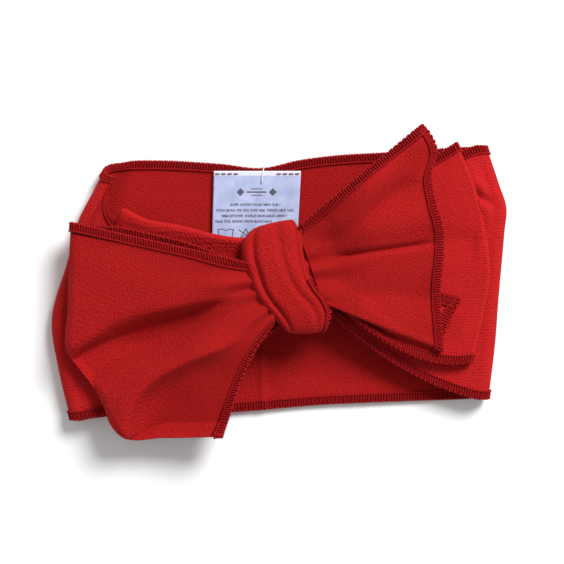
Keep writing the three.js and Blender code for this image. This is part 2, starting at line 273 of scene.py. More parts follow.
# Six-sided threads: a ring of points about each point of each path, square to the path, and smaller at its
# two ends. Paths is a list of (n, 3) arrays, and references gives each point a direction that the thread
# never runs along.
def threadPiece(name, paths, references, radius, material):
    sides = 6
    cap = np.array([[0, 1, 2, 3], [0, 3, 4, 5]])
    vertices, quads, cuts = [], [], []
    start = 0
    for path, reference in zip(paths, references):
        n = len(path)
        ahead = np.gradient(path, axis=0)
        ahead /= np.linalg.norm(ahead, axis=1)[:, None]
        across = np.cross(ahead, reference)
        across /= np.linalg.norm(across, axis=1)[:, None]
        upward = np.cross(across, ahead)
        angle = np.arange(sides) * 2 * math.pi / sides
        ring = np.cos(angle)[None, :, None] * across[:, None] + np.sin(angle)[None, :, None] * upward[:, None]
        size = np.full(n, radius)
        size[[0, -1]] = radius * 0.35
        vertices.append((path[:, None] + ring * size[:, None, None]).reshape(-1, 3))
        i = np.arange(n - 1)[:, None]
        j = np.arange(sides)[None, :]
        k = (j + 1) % sides
        body = np.stack([i * sides + j, i * sides + k, (i + 1) * sides + k, (i + 1) * sides + j], -1)
        body = body[..., ::-1].reshape(-1, 4)
        run = np.concatenate([[0], np.cumsum(np.linalg.norm(np.diff(path, axis=0), axis=1))])
        u = np.stack([run[i + end + 0 * j] for end in (0, 0, 1, 1)], -1)
        v = np.stack([j + end + 0 * i for end in (0, 1, 1, 0)], -1) * (2 * math.pi * radius / sides)
        caps = np.concatenate([cap, (cap + (n - 1) * sides)[:, ::-1]])
        quads.append(np.concatenate([body, caps]) + start)
        cuts.append(np.stack([u, v], -1)[..., ::-1, :].reshape(-1, 4, 2))
        cuts.append(np.zeros((len(caps), 4, 2)))
        start += n * sides
    places = (np.concatenate(vertices) + bandOrigin) * mm
    piece = makeMesh(name, places, np.concatenate(quads), np.concatenate(cuts) * mm)
    piece.data.materials.append(material)
    return piece


# The point of a grid at fractional places (u, v) from 0 to 1: the blend of the four grid points round it.
def sample(grid, u, v):
    nu, nv = grid.shape[:2]
    a = np.clip(u, 0, 1) * (nu - 1)
    b = np.clip(v, 0, 1) * (nv - 1)
    i = np.clip(a.astype(int), 0, nu - 2)
    j = np.clip(b.astype(int), 0, nv - 2)
    s, t = (a - i)[..., None], (b - j)[..., None]
    near = grid[i, j] * (1 - s) + grid[i + 1, j] * s
    far = grid[i, j + 1] * (1 - s) + grid[i + 1, j + 1] * s
    return near * (1 - t) + far * t


stitch = {
    "pitch": 1.35,  # mm from stitch to stitch
    "bite": 3.9,  # mm in from the edge
    "thread": 0.44,  # radius
    "needle": 0.28,  # how the needle thread's humps are sized
    "wander": 0.16,  # unevenness of hand and machine
    "over": 0.7,  # how far the looper runs out over the edge, in thread radii
    "perTurn": 12,  # points along one turn of the looper thread
    "perHump": 5,  # points along one hump of the needle thread
}


# An overlocked edge of a grid. The looper thread is a flattened helix about the edge: its distance in from
# the edge is half the bite times one plus the cosine of its turn, and its height is the sine of it, drawn
# nearly square. On each side a needle thread is a chain of short humps at the bite, and one more thread
# waves along the very edge and ties the loops together.
def overlock(name, points, side, thickness, material, span, seed):
    normals = gridNormals(points)
    rng = np.random.default_rng(seed)
    vEdge, inwards = (0.0, 1.0) if side == "upper" else (1.0, -1.0)
    uLine = np.linspace(*span, 900)
    line = sample(points, uLine, np.full(len(uLine), vEdge))
    length = np.concatenate([[0], np.cumsum(np.linalg.norm(np.diff(line, axis=0), axis=1))])
    widths = np.linalg.norm(np.diff(points, axis=1), axis=2).sum(1)
    count = int(length[-1] / stitch["pitch"])
    turns = np.arange(count * stitch["perTurn"] + 1) / stitch["perTurn"]
    jitter = np.interp(turns, np.arange(count + 2), rng.uniform(-1, 1, count + 2)) * stitch["wander"]
    at = np.interp(turns * stitch["pitch"], length, uLine)
    width = np.interp(at * (len(widths) - 1), np.arange(len(widths)), widths)
    turn = turns * 2 * math.pi
    bite = (stitch["bite"] + jitter * 2.2) * (0.5 + 0.5 * np.cos(turn))
    height = thickness / 2 + stitch["thread"] * 0.85
    flattened = np.sign(np.sin(turn)) * np.abs(np.sin(turn)) ** 0.45
    v = vEdge + inwards * bite / width
    base = sample(points, at, v)
    normal = sample(normals, at, v)
    ahead = np.gradient(sample(points, at, np.full(len(at), vEdge)), axis=0)
    ahead /= np.maximum(np.linalg.norm(ahead, axis=1), 1e-9)[:, None]
    across = np.cross(normal, ahead) * inwards
    over = stitch["thread"] * stitch["over"] * np.clip(-np.cos(turn), 0, 1) ** 4
    middle = sample(points, at, np.full(len(at), 0.5))
    facing = np.where(np.sum(across * (middle - base), 1) > 0, 1, -1)
    looper = base + normal * (flattened * height)[:, None]
    looper -= facing[:, None] * across * over[:, None]

    humps = np.arange(count * stitch["perHump"] + 1) / stitch["perHump"]
    atHump = np.interp(humps * stitch["pitch"], length, uLine)
    widthHump = np.interp(atHump * (len(widths) - 1), np.arange(len(widths)), widths)
    vEdgeThread = vEdge + inwards * (0.1 + 0.25 * np.sin(humps * math.pi)) / widthHump
    n = sample(normals, atHump, vEdgeThread)
    chain = sample(points, atHump, vEdgeThread) + n * (height * 1.35 * np.cos(humps * math.pi))[:, None]
    paths = [looper, chain]
    references = [ahead, n]
    rise = thickness / 2 + stitch["thread"] * 1.2
    rise = rise + stitch["needle"] * 0.9 * np.abs(np.sin(humps * math.pi)) * 0.8
    for face, inset in ((1, stitch["bite"] + 0.1), (-1, stitch["bite"])):
        vNeedle = vEdge + inwards * (inset + 0.12 * np.sin(humps * math.pi * 2 + inset)) / widthHump
        n = sample(normals, atHump, vNeedle)
        paths.append(sample(points, atHump, vNeedle) + n * (face * rise)[:, None])
        references.append(n)
    return threadPiece(name, paths, references, stitch["thread"], material)


band = {
    "width": 127.0,
    "thickness": 0.75,
    "knot": (4.0, 4.0),
    "lean": 18.8,  # degrees of the knot from +Y towards -X
    "turn": 5.6,  # radius of the side turns
}

cloth = {
    # the light colours go on the weave's tops as painted light, and the deep ones in its hollows as painted
    # shade
    "face": (0.47, 0.012, 0.013),
    "faceDeep": (0.33, 0.006, 0.007),
    # the reverse is darker than the face, partly as the duller back of the cloth and partly as painted shade
    # for the right tail, which lies reverse up in half shade
    "reverse": (0.40, 0.009, 0.009),
    "reverseDeep": (0.26, 0.005, 0.005),
    "pip": 1.3,  # mm between the rows of raised pips on the face
    "rib": 0.95,  # mm between the ribs on the reverse
    "grain": 1050,  # scale of the yarn's noise
    "blotch": 38,  # scale of the slow change of colour
    # the overlock's painted shade: a band this wide along each long edge is multiplied by the colour below
    "paintedShadeBite": 4.3,  # mm in from a long edge that the overlock presses and shades
    "paintedOverlockShade": (0.42, 0.3, 0.3),
    "bump": 0.0003,
    "roughness": 0.9,
}


def startFinish(name):
    material = bpy.data.materials.new(name)
    material.use_nodes = True
    tree = material.node_tree
    return material, tree, tree.nodes["Principled BSDF"]


def link(tree, source, target):
    tree.links.new(source, target)


def mathNode(tree, operation, a, b=None):
    node = tree.nodes.new("ShaderNodeMath")
    node.operation = operation
    for socket, value in zip(node.inputs, (a, b)):
        if value is None:
            continue
        if isinstance(value, (int, float)):
            socket.default_value = value
        else:
            link(tree, value, socket)
    return node.outputs[0]


def plus(tree, a, b):
    return mathNode(tree, "ADD", a, b)


def times(tree, a, b):
    return mathNode(tree, "MULTIPLY", a, b)


def wave(tree, place, turn):
    return mathNode(tree, "COSINE", times(tree, place, turn))


# The places on the flat cut cloth, whole and as x and y.
def cutNodes(tree):
    coordinates = tree.nodes.new("ShaderNodeUVMap")
    coordinates.uv_map = "cut"
    split = tree.nodes.new("ShaderNodeSeparateXYZ")
    link(tree, coordinates.outputs[0], split.inputs[0])
    return coordinates.outputs[0], split.outputs[0], split.outputs[1]


def noiseNode(tree, places, scale, detail=2):
    noise = tree.nodes.new("ShaderNodeTexNoise")
    noise.inputs["Scale"].default_value = scale
    noise.inputs["Detail"].default_value = detail
    link(tree, places, noise.inputs["Vector"])
    return noise.outputs[0]


def rampNode(tree, share, *stops):
    ramp = tree.nodes.new("ShaderNodeValToRGB")
    for element, (position, colour) in zip(ramp.color_ramp.elements, stops):
        element.position = position
        element.color = (*colour, 1)
    link(tree, share, ramp.inputs[0])
    return ramp.outputs[0]


def mixNode(tree, blend, share, base, colour):
    mix = tree.nodes.new("ShaderNodeMix")
    mix.data_type = "RGBA"
    mix.blend_type = blend
    mix.inputs[7].default_value = (*colour, 1)
    link(tree, share, mix.inputs[0])
    link(tree, base, mix.inputs[6])
    return mix.outputs[2]


def addBump(tree, shader, height, strength, distance):
    bump = tree.nodes.new("ShaderNodeBump")
    bump.inputs["Strength"].default_value = strength
    bump.inputs["Distance"].default_value = distance
    link(tree, height, bump.inputs["Height"])
    link(tree, bump.outputs[0], shader.inputs["Normal"])


# The cloth. Its face has raised pips on a leaning diamond lattice: their height is the product of the
# cosines of two slanted directions. Its reverse has faint ribs: the sum of a cosine across them and one
# that leans. A noise of spun yarn stands over both. The colour follows that height from deep to light:
# painted shade in the weave's hollows and painted light on its tops, with the yarn's noise and slow
# blotches as the cloth's own uneven tone.
def clothFinish(name, light, deep, pattern):
    material, tree, shader = startFinish(name)
    places, x, y = cutNodes(tree)
    if pattern == "pips":
        turn = 2 * math.pi / (cloth["pip"] * mm)
        row = plus(tree, times(tree, x, 0.40), times(tree, y, 0.92))
        across = plus(tree, times(tree, x, 0.92), times(tree, y, -0.40))
        raised = times(tree, wave(tree, row, turn * 0.75), wave(tree, across, turn * 0.42))
        raised = times(tree, raised, 0.5)
    else:
        turn = 2 * math.pi / (cloth["rib"] * mm)
        leaning = plus(tree, y, times(tree, x, 0.5))
        ribs = times(tree, wave(tree, x, turn), 0.15)
        raised = plus(tree, ribs, times(tree, wave(tree, leaning, turn * 0.4), 0.12))
    raised = times(tree, plus(tree, raised, 0.5), 0.7)
    yarn = times(tree, noiseNode(tree, places, cloth["grain"]), 2.5)
    height = mathNode(tree, "SUBTRACT", plus(tree, raised, yarn), 1.0)
    blotches = times(tree, noiseNode(tree, places, cloth["blotch"], 3), 0.3)
    # painted shade in the weave's hollows and painted light on its tops: the colour follows the height of the
    # pips or ribs, with the yarn's noise and the blotches as uneven tone
    colour = rampNode(tree, plus(tree, times(tree, height, 0.8), blotches), (0.15, deep), (0.85, light))
    # painted shade under the overlock: within its bite of either long edge, where the threads press the
    # cloth, the colour is darkened as the shade that they cast
    edge = mathNode(tree, "MINIMUM", y, mathNode(tree, "SUBTRACT", band["width"] * mm, y))
    paintedShadeBite = mathNode(tree, "LESS_THAN", mathNode(tree, "ABSOLUTE", edge), cloth["paintedShadeBite"] * mm)
    link(tree, mixNode(tree, "MULTIPLY", paintedShadeBite, colour, cloth["paintedOverlockShade"]), shader.inputs["Base Color"])
    addBump(tree, shader, height, 0.9, cloth["bump"])
    shader.inputs["Roughness"].default_value = cloth["roughness"]
    shader.inputs["Specular IOR Level"].default_value = 0.1
    shader.inputs["Sheen Weight"].default_value = 0.12
    shader.inputs["Sheen Roughness"].default_value = 0.4
    shader.inputs["Sheen Tint"].default_value = (1.0, 0.12, 0.1, 1)
    return material


thread = {
    "twist": 0.55,  # mm along the thread for one turn of its plies
    "lean": 0.9,  # how far the plies lean across it
    # in each pair the deep colour is painted shade in the grooves between the plies and the light one painted
    # light on their tops
    "edge": ((0.40, 0.008, 0.010), (0.21, 0.002, 0.004)),  # light and deep colours
    "seam": ((0.20, 0.004, 0.010), (0.12, 0.003, 0.006)),
}


# Spun thread: two plies twisted round each other, as slanted stripes along the thread's own length. The
# stripe is the sine of the way along plus a share of the way round. It bumps the thread, and it darkens the
# colour in the grooves between the plies as painted shade and lightens their tops as painted light, with a
# noise of uneven tone.
def threadFinish(name, light, deep, roughness=0.7):
    material, tree, shader = startFinish(name)
    places, x, y = cutNodes(tree)
    slanted = plus(tree, x, times(tree, y, thread["lean"]))
    twist = mathNode(tree, "SINE", times(tree, slanted, 2 * math.pi / (thread["twist"] * mm)))
    share = plus(tree, times(tree, twist, 0.3), noiseNode(tree, places, 900))
    # painted shade in the ply grooves and painted light on the ply tops, from the twist, with a noise of
    # uneven tone
    link(tree, rampNode(tree, share, (0.2, deep), (0.8, light)), shader.inputs["Base Color"])
    addBump(tree, shader, twist, 0.5, 0.0001)
    shader.inputs["Roughness"].default_value = roughness
    shader.inputs["Specular IOR Level"].default_value = 0.12
    return material


satin = {
    "deep": (0.37, 0.43, 0.66),
    "light": (0.52, 0.58, 0.84),
    "folded": (0.74, 0.76, 0.90),
    "fold": 2.3,  # mm from the top that is folded double
    "weave": 0.45,  # mm between the lines of the weave
}


# Label tape: a satin weave, whose fine lines across the tape are a cosine of the way down it, under a soft
# gloss.
def satinFinish():
    material, tree, shader = startFinish("label-satin")
    places, x, y = cutNodes(tree)
    weave = wave(tree, y, 2 * math.pi / (satin["weave"] * mm))
    colour = rampNode(tree, noiseNode(tree, places, 120), (0.3, satin["deep"]), (0.7, satin["light"]))
    # above the stitching the tape is folded double and reads whiter
    doubled = mathNode(tree, "LESS_THAN", y, satin["fold"] * mm)
    link(tree, mixNode(tree, "MIX", doubled, colour, satin["folded"]), shader.inputs["Base Color"])
    addBump(tree, shader, weave, 0.25, 0.00006)
    shader.inputs["Roughness"].default_value = 0.38
    shader.inputs["Sheen Weight"].default_value = 0.2
    return material


# A plain finish whose colour a soft noise darkens by up to 15 percent.
def plainFinish(name, colour, roughness):
    material, tree, shader = startFinish(name)
    coordinates = tree.nodes.new("ShaderNodeTexCoord")
    darker = [c * 0.85 for c in colour]
    noise = noiseNode(tree, coordinates.outputs["Object"], 400)
    link(tree, rampNode(tree, noise, (0, darker), (1, colour)), shader.inputs["Base Color"])
    shader.inputs["Roughness"].default_value = roughness
    return material


faceCloth = clothFinish("cloth-face", cloth["face"], cloth["faceDeep"], "pips")
reverseCloth = clothFinish("cloth-reverse", cloth["reverse"], cloth["reverseDeep"], "ribs")
edgeThread = threadFinish("overlock-thread", *thread["edge"], 0.85)
labelSatin = satinFinish()
labelInk = plainFinish("label-ink", (0.10, 0.095, 0.13), 0.6)
seamThread = threadFinish("label-thread", *thread["seam"])
nylon = plainFinish("nylon-filament", (0.86, 0.80, 0.82), 0.25)
print("finishes made")

# levels and directions that the layers share
knotX, knotY = band["knot"]
lean = math.radians(band["lean"])
alongDir = np.array([-math.sin(lean), math.cos(lean)])
acrossDir = np.array([math.cos(lean), math.sin(lean)])
frontRest = 11.6  # height of the front's middle at rest, and at the knot
frontRoot = 19.8


# The place s across and t along the knot, in the band's own directions.
def atKnot(s, t):
    x = knotX + acrossDir[0] * s + alongDir[0] * t
    y = knotY + acrossDir[1] * s + alongDir[1] * t
    return np.stack([x, y], -1)


# How far a layer has come down from the knot, from 0 to 1, at x.
def settled(x, distance):
    return step(np.abs(x - knotX), 13.5, distance)


def frontHeight(x):
    return lerp(frontRoot, frontRest, settled(x, 81.0))


def resting(root, x, above):
    return lerp(root, frontHeight(x) + above, settled(x, 50.0))


ring = {
    "roll": 8.5,  # mm that the left front's upper edge is turned under
    "rolled": 0.16,  # share of the front's width that is turned under
    "drop": 7.5,  # how far the upper edge comes down as it goes round the left turn
    "left": [(-88.5, 60.2), (-93.5, 49), (-101.5, 32), (-107, 11), (-115, -20), (-111.5, -44), (-105.5, -69)],
    "right": [(104, 68.5), (110.5, 49), (114, 38), (113, 25), (110, -9), (108.5, -29), (105, -58.5)],
    "top": (
        [-92, -84, -76, -65, -30, -9, 10, 25, 55, 105],
        [60.2, 60.5, 61.1, 61.3, 59.5, 57.4, 61.5, 63.5, 65.5, 69],
    ),
    "bottom": ([-106, -85, -25, 25, 60, 106], [-69, -67.5, -65.5, -61.5, -60, -58.5]),
    "sideColumns": 150,  # grid lines along one side of the front
    "crease": [(114, 37), (106, 40), (97, 43), (88, 42)],  # the pinch at the right turn
}


# How far the back panel's long edges stand up over its middle, at a share v of the way across it: a power
# of the way to the upper edge, and the square of a smooth step to the lower one.
def backRise(v):
    return 3.8 * np.clip(1 - v / 0.34, 0, 1) ** 1.6 + 1.4 * step(v, 0.6, 1) ** 2


# The back panel, from the left turn to the right one. Its upper and lower edges follow the given lines;
# between them each line across is straight, with a low unevenness that dies away at the turns.
def ringBack(u, v):
    left = through(ring["left"], v)
    right = through(ring["right"], v)
    x = lerp(left[..., 0] + band["turn"], right[..., 0] - band["turn"], u)
    ySide = lerp(left[..., 1], right[..., 1], u)
    corners = [(ring["left"][k][1], ring["right"][k][1]) for k in (0, -1)]
    topOff = valueAt(*ring["top"], x) - lerp(*corners[0], u)
    lowOff = valueAt(*ring["bottom"], x) - lerp(*corners[1], u)
    ends = step(u, 0, 0.06) * (1 - step(u, 0.94, 1))
    y = ySide + ends * (topOff * (1 - v) ** 2 + lowOff * v**2)
    z = 0.62 + ends * (0.5 + unevenness(x, y, 0.5, 60, 5) + backRise(v))
    z += ends * 0.9 * bell(x + 10 + 0.02 * y, 1.6) * step(-y, 10, 40)
    return np.stack([x, y, np.maximum(z, 0.45)], -1)


# A side turn: a half circle in each upright plane across the turn's line, from the back up to the front.
def ringTurn(u, v, side):
    line = through(ring[side], v)
    sign = -1 if side == "left" else 1
    angle = math.pi * u
    x = line[..., 0] - sign * band["turn"] * (1 - np.sin(angle))
    z = lerp(0.62, frontRest, (1 - np.cos(angle)) / 2)
    return np.stack([x, line[..., 1] - turnDrop(v, side) * np.sin(angle / 2) ** 2, z], -1)


def turnDrop(v, side):
    return ring["drop"] * (1 - v) ** 6 if side == "left" else 0 * v


# A side of the front: each line along it is a quadratic curve from the turn to the knot, drawn aside at
# its middle. The left side's upper edge is turned under: over a share of the width its line runs out and
# back as a half sine, and its layers stand over one another. The right side has a pinched crease at its
# turn.
def ringFront(u, v, side):
    line = through(ring[side], v)
    sign = -1 if side == "left" else 1
    start = np.stack([line[..., 0] - sign * band["turn"], line[..., 1] - turnDrop(v, side)], -1)
    root = atKnot(sign * 12.0, lerp(20.0, -22.5 if side == "left" else -20.0, v))
    if side == "left":
        off = np.stack([lerp(-56.0, 13.0, step(v, 0, 1)), lerp(-19.5, -9.0, v)], -1)
    else:
        off = np.stack([lerp(-6.0, -5.0, v), lerp(2.0, -12.5, v)], -1)
    middle = (start + root) / 2 + off
    w = u[..., None]
    plan = (1 - w) ** 2 * start + 2 * w * (1 - w) * middle + w**2 * root
    x, y = plan[..., 0], plan[..., 1]
    z = frontHeight(x) + unevenness(x, y, 0.45, 50, 8) * step(u, 0, 0.15)
    z += pleats(1 - u, v, 2.2, 6, 0.2 if side == "left" else 0.7, 0.7)
    if side == "left":
        rolled = step(u, 0.38, 0.5)
        share = np.clip(v / ring["rolled"], 0, 1)
        edgeY = y[:, :1]
        foldY = edgeY + ring["roll"] * (1.25 - 0.25 * step(u, 0.5, 0.65) - 0.7 * step(u, 0.72, 1))
        over = y[:, [int(ring["rolled"] * (y.shape[1] - 1))]]
        outward = lerp(edgeY, foldY, np.sin(math.pi * share))
        turned = np.where(share < 0.5, outward, lerp(foldY, over, step(share, 0.45, 1.05)))
        y = lerp(y, turned, rolled * (share < 1))
        layers = 3.0 + 2.0 * step(u, 0.8, 1)
        z = z + rolled * layers * (step(share, 0.36, 0.64) - step(v, 0.08, 0.19))
        z = z + rolled * 4.4 * bell(share - 0.5, 0.28)
    else:
        pinch = 4.2 * bell(np.hypot(x - 102, y - 41), 15)
        z += step(u, 0, 0.05) * (pinch + valley(x, y, ring["crease"], 4.6, 2.2, 4.0, (0.1, 0.6)))
        z += 2.2 * bell(x - 104, 10) * bell(y - 50, 8) * step(u, 0, 0.1)
    return np.stack([x, y, z], -1)


# The whole ring as one grid: the left front, the left turn, the back, the right turn and the right front
# in turn.
def ringGrid(rows=130):
    parts = []
    for count, run in (
        (ring["sideColumns"], lambda u, v: ringFront(1 - u, v, "left")),
        (26, lambda u, v: ringTurn(1 - u, v, "left")),
        (200, ringBack),
        (26, lambda u, v: ringTurn(u, v, "right")),
        (ring["sideColumns"], lambda u, v: ringFront(u, v, "right")),
    ):
        grid = run(*evenGrid(count, rows))
        parts.append(grid if not parts else grid[1:])
    return np.concatenate(parts)


# folded pieces start their cut this far in so that the overlock's painted shade stays off them
cutInside = 20  # mm in from the strip's edge where a folded piece's cloth begins, clear of the shaded edge


# How much cloth lies along each line of a grid, and so where each point was on the flat strip.
def cutPlaces(points, width=None):
    lengths = np.concatenate([[0], np.cumsum(np.linalg.norm(np.diff(points, axis=0), axis=2).mean(1))])
    across = np.linspace(0, 1, points.shape[1])
    across = across * band["width"] if width is None else cutInside + across * width
    return np.stack(np.meshgrid(lengths, across, indexing="ij"), -1)


def finishPiece(piece, body, replaced=(), blend=None):
    if replaced:
        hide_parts(*replaced)
    if blend:
        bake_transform(piece)
    else:
        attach(piece, body)


def cadNodes(*starts):
    return sorted(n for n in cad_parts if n.startswith(starts))


# A run of the strip at its full width.
def stripPiece(name, points, finishes):
    return clothPiece(name, points, cutPlaces(points), band["thickness"], finishes)


# The two overlocked edges of a run of cloth. Each stands for the seams of that side on the runs it passes.
def runEdges(name, points, runs, body, blend, span, seed):
    edges = []
    for side in ("upper", "lower"):
        edge = overlock(f"{name}-{side}-overlock", points, side, band["thickness"], edgeThread, span, seed)
        finishPiece(edge, body, cadNodes(*(f"{run}_{side}" for run in runs)), blend)
        edges.append(edge)
    return edges


# Two bodies and the places, in mm from the band's zero, between which cloth bends from the first to the
# second.
def bendBetween(first, second, start, end):
    return (first, second, *[tuple((np.array(place) + bandOrigin) * mm) for place in (start, end)])


# The ring's cloth bends from the back to the front between these heights, halfway up its side turns. Its
# grid's normal looks out of the ring, and that side is the face.
openRing = ("back", "front", (0, 0, 0.0071), (0, 0, 0.0105))
ringRuns = ["back_panel", "left_turn", "right_turn", "left_front", "right_front"]
ringPoints = ringGrid()
ringCloth = stripPiece("ring-cloth", ringPoints, (faceCloth, reverseCloth))
finishPiece(ringCloth, "back", ringRuns, openRing)
ringEdges = runEdges("ring", ringPoints, ringRuns, "back", openRing, (0.002, 0.998), 11)
print("ring made", ringPoints.shape)


# A loop is one run of the strip: out from the knot as its front layer, round the outer bend, and back as
# its back layer. Seen from above, each line along the strip runs straight from its root to the loop's
# edge. The layers stand off the middle level by the loop's hollow, which closes round the bend as a
# quarter circle.
def loopGrid(loop, shape, columns=150, rows=150):
    half = np.linspace(0, 1, columns)
    outAndBack = np.concatenate([half, 2 - half[::-1][1:]])
    q, v = np.meshgrid(outAndBack, np.linspace(0, 1, rows), indexing="ij")
    facing = np.where(q <= 1, 1.0, -1.0)
    u = 1 - np.abs(q - 1)
    edge = through(loop["edge"], v)
    root = atKnot(loop["side"] * 11.0, lerp(*loop["roots"], v))
    reach = np.linalg.norm(edge - root, axis=-1)
    radius = valueAt(*loop["bend"], v)
    bend = np.clip((u - 0.74) / 0.26, 0, 1) * math.pi / 2
    out = np.minimum(u / 0.74, 1) * (reach - radius) + radius * np.sin(bend)
    share = out / reach
    plan = lerp(root, edge, share[..., None])
    x, y = plan[..., 0], plan[..., 1]
    y = y + loop["pull"] * 5.2 * share**1.4 * (1 - share) * v * v
    x, y, middle, hollow = shape(x, y, share, v, facing)
    closing = np.cos(bend) * hollow + 0.45 * np.sin(bend)
    z = middle + facing * closing
    apart = z - z[::-1]
    least = 1.3 * np.cos(bend)
    z = np.where(facing > 0, z + np.maximum(least - apart, 0), z)
    return np.stack([x, y, z], -1)


leftLoop = {
    "side": -1,
    "edge": [
        (-103.5, 29.5), (-104.5, 8), (-105, -12), (-104.5, -36.5), (-98.5, -44),
        (-88.5, -59), (-82.8, -72), (-78, -76.6), (-58, -76.9), (-28.5, -75.8),
    ],
    "roots": (8.0, -19.0),
    "bend": ([0, 0.3, 0.55, 0.75, 1.0], [4.0, 4.5, 5.0, 4.5, 3.0]),
    "pull": 0.0,
    "valleyOne": [(-10, -4), (-22, -8.5), (-39, -14), (-60, -21.5), (-84, -31), (-106, -40.5)],
    "valleyTwo": [
        (-2, -15), (-21.5, -29), (-47, -40), (-62, -48.5), (-71.5, -58.5), (-75.5, -69), (-76.5, -78),
    ],
    "depths": (17.5, 12.0),
}


# Left loop: three lobes between its edges, parted by two deep valleys that run from the knot to the outer
# bend.
def leftLoopShape(x, y, share, v, facing):
    middle = resting(26.6, x, 7.8)
    swell = 6.2 * np.sin(np.clip(share, 0, 1) * math.pi) ** 0.8
    hollow = lerp(2.2, 3.8, step(share, 0, 0.5)) + swell
    front = np.where(facing > 0, 1.0, 0.0)
    x = x - 4.8 * 4 * share * (1 - share) * v**3 * (1.35 - 0.95 * share)
    y = y + (1 - front) * 3.4 * step(share, 0.1, 0.45) * (1 - step(share, 0.7, 0.98)) * (1 - v) ** 5
    # first valley: its upper flank curves over softly and falls steeply, and the lobe below rises gently
    # from it
    away, along = fromPath(x, y, leftLoop["valleyOne"])
    grown = step(along, 0.05, 0.5) * (1 - step(along, 0.88, 1))
    flank = 2.8 + 2.8 * bell(along - 0.66, 0.22)
    one = -leftLoop["depths"][0] * grown * np.where(away > 0, bell(away, flank), bell(away, 13.0))
    # second valley: past a lit ridge the cloth falls off steeply and then ever more gently to the loop's
    # lower edge
    away, along = fromPath(x, y, leftLoop["valleyTwo"])
    grown = step(along, 0.05, 0.45)
    two = -leftLoop["depths"][1] * grown * (1 - np.exp(-np.clip(-away, 0, 60) / 5.5))
    ridges = grown * 1.4 * bell(away - 3.0, 4.5)
    gathered = pleats(share, v, 1.2, 4.5, 0.3, 0.42)
    z = middle + front * (one + two + ridges + gathered + unevenness(x, y, 0.5, 26, 21))
    z += (1 - front) * 0.5 * pleats(share, v, 1.6, 6.5, 0.6)
    return x, y, z, hollow


leftTail = {
    "end": [(-79, 12), (-80, -17), (-75, -46)],
    "roots": (12.0, -14.0),
    "width": 62.0,
    "thickness": 1.3,
}


# Left tail: folded along its length, flat between the left loop and the ring, with three sine waves at the
# knot.
def leftTailGrid(columns=70, rows=70):
    u, v = evenGrid(columns, rows)
    root = atKnot(-12.0, lerp(*leftTail["roots"], v))
    plan = lerp(root, through(leftTail["end"], v), u[..., None])
    x, y = plan[..., 0], plan[..., 1]
    waves = 0.6 * (1 - step(u, 0.1, 0.5)) * np.sin(v * 2 * math.pi * 3)
    z = resting(22.2, x, 1.2) + waves + unevenness(x, y, 0.15, 30, 51)
    return np.stack([x, y, z], -1)


# A loop's cloth and its two edges.
def addLoop(side, points, blend, seed):
    name, body = f"{side}-loop", f"{side}_loop"
    runs = [f"{body}_front", f"{body}_back"]
    piece = stripPiece(f"{name}-cloth", points, (reverseCloth, faceCloth))
    finishPiece(piece, body, [*runs, f"{body}_gather"], blend)
    return piece, runEdges(name, points, runs, body, blend, (0.02, 0.98), seed)


# the loop's front layer stands higher over the tail than its back layer, and both lie over the ring
leftTailPoints = leftTailGrid()
leftPoints = loopGrid(leftLoop, leftLoopShape)
overTail = np.where(np.arange(len(leftPoints)) < 150, 2.3, 1.3)[:, None]
leftRing = ringPoints[: ring["sideColumns"]] + [0, 0, 1.2]
leftPoints = laidOn(leftPoints, [leftRing, leftTailPoints], overTail)
leftLift = bendBetween("front", "left_loop", (*atKnot(-15.0, 0), 27.6), (*atKnot(-27.0, 0), 27.6))
leftCloth, leftEdges = addLoop("left", leftPoints, leftLift, 12)
print("left loop made")

rightLoop = {
    "side": 1,
    "edge": [(88, 69.5), (97.5, 46), (103, 21), (104.5, 5), (101.5, -14), (95.5, -39.5)],
    "roots": (15.0, -11.5),
    "bend": ([0, 0.5, 1.0], [2.2, 2.6, 2.2]),
    "pull": -10.5,
}


# Right loop: flatter, with two shallow dips towards its outer bend and pleats pressed in at the knot.
def rightLoopShape(x, y, share, v, facing):
    middle = resting(24.0, x, 3.8)
    front = np.where(facing > 0, 1.0, 0.0)
    hollow = lerp(1.8, 2.1, step(share, 0, 0.4)) + 0.6 * np.sin(share * math.pi)
    dips = valley(x, y, [(60, 20), (80, 22), (100, 20)], 1.2, 5.0, 9.0, (0.3, 0.9))
    dips += valley(x, y, [(50, -20), (70, -26), (92, -24)], 1.0, 5.0, 8.0, (0.3, 0.8))
    folded = pleats(share, v, 1.9, 15, 0.5, 0.8)
    z = middle + folded + front * (dips + unevenness(x, y, 0.4, 34, 31))
    return x, y, z, hollow


rightPoints = loopGrid(rightLoop, rightLoopShape, 110, 230)
rightPoints = laidOn(rightPoints, [ringPoints[-ring["sideColumns"] :]], 1.2)
rightLift = bendBetween("front", "right_loop", (*atKnot(15.0, 0), 29.0), (*atKnot(28.0, 0), 29.0))
rightCloth, rightEdges = addLoop("right", rightPoints, rightLift, 13)
print("right loop made")


tail = {
    "end": [(69.5, 77), (76, 65), (73.5, 53), (75.5, 40.5), (80, 25), (80, 12.5), (79, 0), (80.5, -32)],
    "roots": (20.0, -18.0),
    "flat": 0.80,  # share of the width that lies on top, and that goes round the bend
    "bend": 0.05,
    "under": 24.0,  # mm turned under at the cut end
    "ridge": [(14, 16), (35, 38), (66, 68)],
    "crease": [(12, 9.5), (34, 13.5), (58, 17), (82, 20.5)],
    "dip": [(13, 10), (32, 24), (52, 40), (70, 52)],
}


